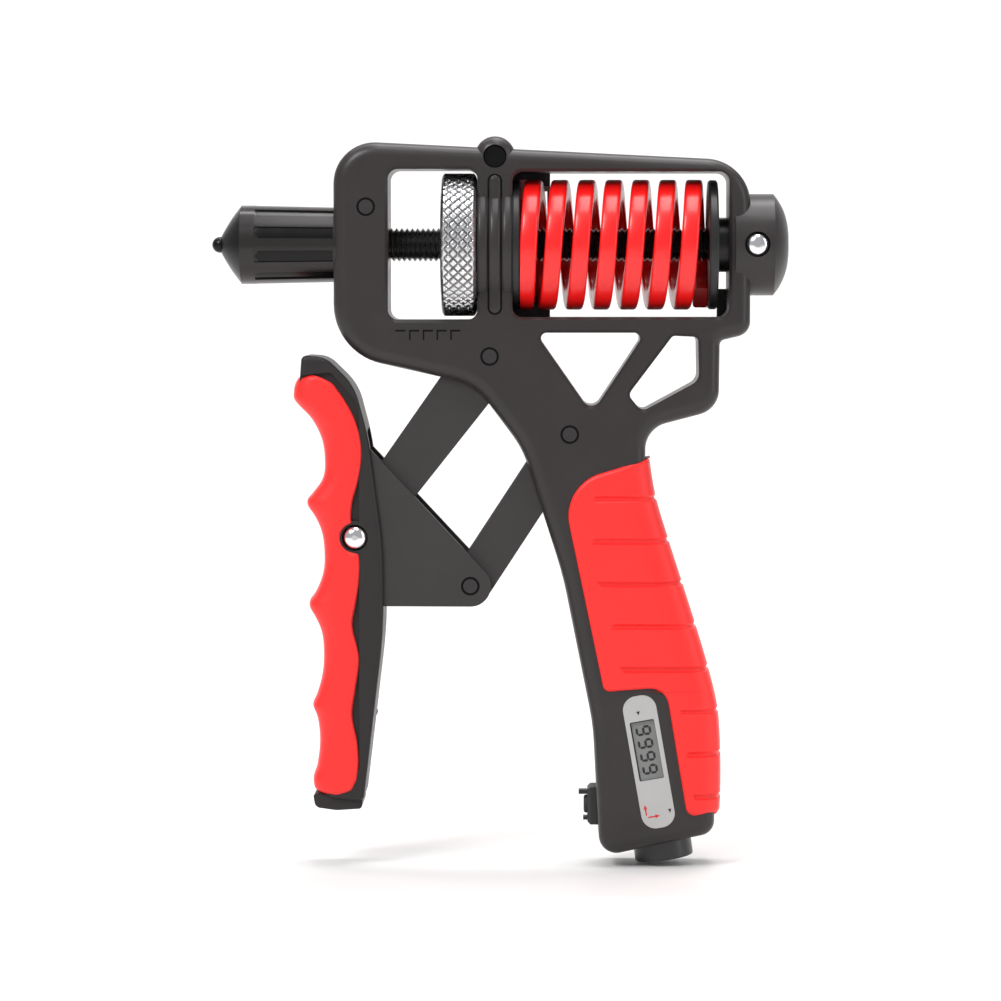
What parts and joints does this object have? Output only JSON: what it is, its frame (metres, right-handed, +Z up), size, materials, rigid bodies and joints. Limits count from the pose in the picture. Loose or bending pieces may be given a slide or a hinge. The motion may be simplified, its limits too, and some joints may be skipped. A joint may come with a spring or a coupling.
{
  "type": "adjustable spring hand gripper with stroke counter",
  "caption": "Pistol-shaped hand gripper: squeezing the front handle pulls a threaded rod that compresses a die spring; a knurled nut sets it and a counter shows the strokes.",
  "frame": {"origin": "middle of the palm grip, on the mid-plane between the two frame halves", "axes": "+X along the pull rod towards the rear boss, +Z up towards the rod and spring, Y across the thickness with the counter's display facing -Y"},
  "size_m": [0.1376, 0.0349, 0.1736],
  "materials": {
    "body_plastic": "satin moulded",
    "handle_plastic": "satin moulded",
    "nose_plastic": "semi-gloss moulded",
    "case_plastic": "matt",
    "reset_plastic": "semi-gloss moulded",
    "grip_rubber": "soft satin",
    "spring_red": "powder coat",
    "pin_steel": "blackened",
    "chrome_pin": "polished",
    "dark_screw": "blackened",
    "dark_steel": "satin black",
    "plate_steel": "blackened",
    "inner_steel": "plain",
    "rod_steel": "threaded, black oxide",
    "nut_steel": "diamond knurled, nickel plated",
    "bush_bronze": "sintered",
    "label_silver": "printed film",
    "display": "display window",
    "board_green": "board",
    "cell_steel": "plain",
    "lead_black": "matt"
  },
  "bodies": {
    "frame": {"frame_shell_near": "body_plastic", "frame_shell_far": "body_plastic", "palm_grip": "grip_rubber", "upper_pivot_pin": "pin_steel", "lower_pivot_pin": "pin_steel", "front_shell_pin": "pin_steel", "top_shell_pin": "pin_steel", "rear_stop_pin": "chrome_pin", "frame_screws": "dark_screw", "nose_cap": "nose_plastic", "nose_cone": "nose_plastic", "nose_tip": "nose_plastic", "rod_guide_bush": "bush_bronze", "tail_bush": "bush_bronze", "spring_seat": "plate_steel", "load_spring": "spring_red", "label_plate": "label_silver", "counter_case": "case_plastic", "display_glass": "display", "counter_board": "board_green", "counter_cell": "cell_steel", "stroke_switch": "case_plastic", "switch_lead": "lead_black", "reset_spring": "inner_steel", "side_bezel": "case_plastic", "side_spring": "inner_steel"},
    "lever": {"lever_plate_near": "dark_steel", "lever_plate_far": "dark_steel", "lever_hub": "inner_steel", "lever_foot_spacer": "inner_steel"},
    "handle": {"handle_core_near": "handle_plastic", "handle_core_far": "handle_plastic", "finger_grip": "grip_rubber", "handle_plate_near": "dark_steel", "handle_plate_far": "dark_steel", "handle_pivot_pin": "chrome_pin", "plate_pin": "pin_steel", "handle_end_cap": "handle_plastic", "handle_screws": "dark_screw"},
    "lower_link": {"lower_link_near": "dark_steel", "lower_link_far": "dark_steel", "link_hub": "inner_steel", "link_foot_spacer": "inner_steel"},
    "rod": {"pull_rod": "rod_steel", "moving_flange": "plate_steel", "tail_collar": "plate_steel", "collar_pin": "inner_steel"},
    "washer": {"thrust_washer": "plate_steel"},
    "nut": {"tension_nut": "nut_steel"},
    "reset_button": {"reset_button": "reset_plastic"},
    "side_button": {"side_button": "case_plastic"}
  },
  "joints": [
    {"name": "squeeze", "type": "hinge", "parent": "frame", "child": "lever", "pos_m": [-0.0383, 0, 0.0707], "axis": [0, -1, 0], "range_deg": [0, 20], "stiffness_Nm_per_rad": 12, "springref_deg": -17.19},
    {"name": "handle_tilt", "type": "hinge", "parent": "lever", "child": "handle", "pos_m": [-0.0703, 0, 0.0277], "axis": [0, -1, 0], "range_deg": [-16.7, 0.1]},
    {"name": "lower_link_swing", "type": "hinge", "parent": "frame", "child": "lower_link", "pos_m": [-0.0193, 0, 0.0522], "axis": [0, -1, 0], "range_deg": [0, 24.8]},
    {"name": "rod_pull", "type": "slide", "parent": "frame", "child": "rod", "axis": [-1, 0, 0], "range_m": [0, 0.0092], "deforming": ["load_spring"]},
    {"name": "washer_travel", "type": "slide", "parent": "rod", "child": "washer", "axis": [-1, 0, 0], "range_m": [0, 0.00251]},
    {"name": "nut_turn", "type": "hinge", "parent": "washer", "child": "nut", "pos_m": [-0.04565, 0, 0.0972], "axis": [1, 0, 0], "range_deg": [0, 720]},
    {"name": "reset_press", "type": "slide", "parent": "frame", "child": "reset_button", "axis": [-0.1392, 0, 0.9903], "range_m": [0, 0.0015], "stiffness_N_per_m": 400, "springref_m": -0.002, "deforming": ["reset_spring"]},
    {"name": "side_press", "type": "slide", "parent": "frame", "child": "side_button", "axis": [1, 0, 0], "range_m": [0, 0.001], "stiffness_N_per_m": 300, "springref_m": -0.0015, "deforming": ["side_spring"]}
  ],
  "couplings": [
    {"joint": "handle_tilt", "follows": "squeeze", "ratio": -0.829},
    {"joint": "lower_link_swing", "follows": "squeeze", "ratio": 1.2358},
    {"joint": "rod_pull", "follows": "squeeze", "m_per_rad": 0.0262},
    {"joint": "washer_travel", "follows": "nut_turn", "m_per_rad": 0.00019894}
  ]
}
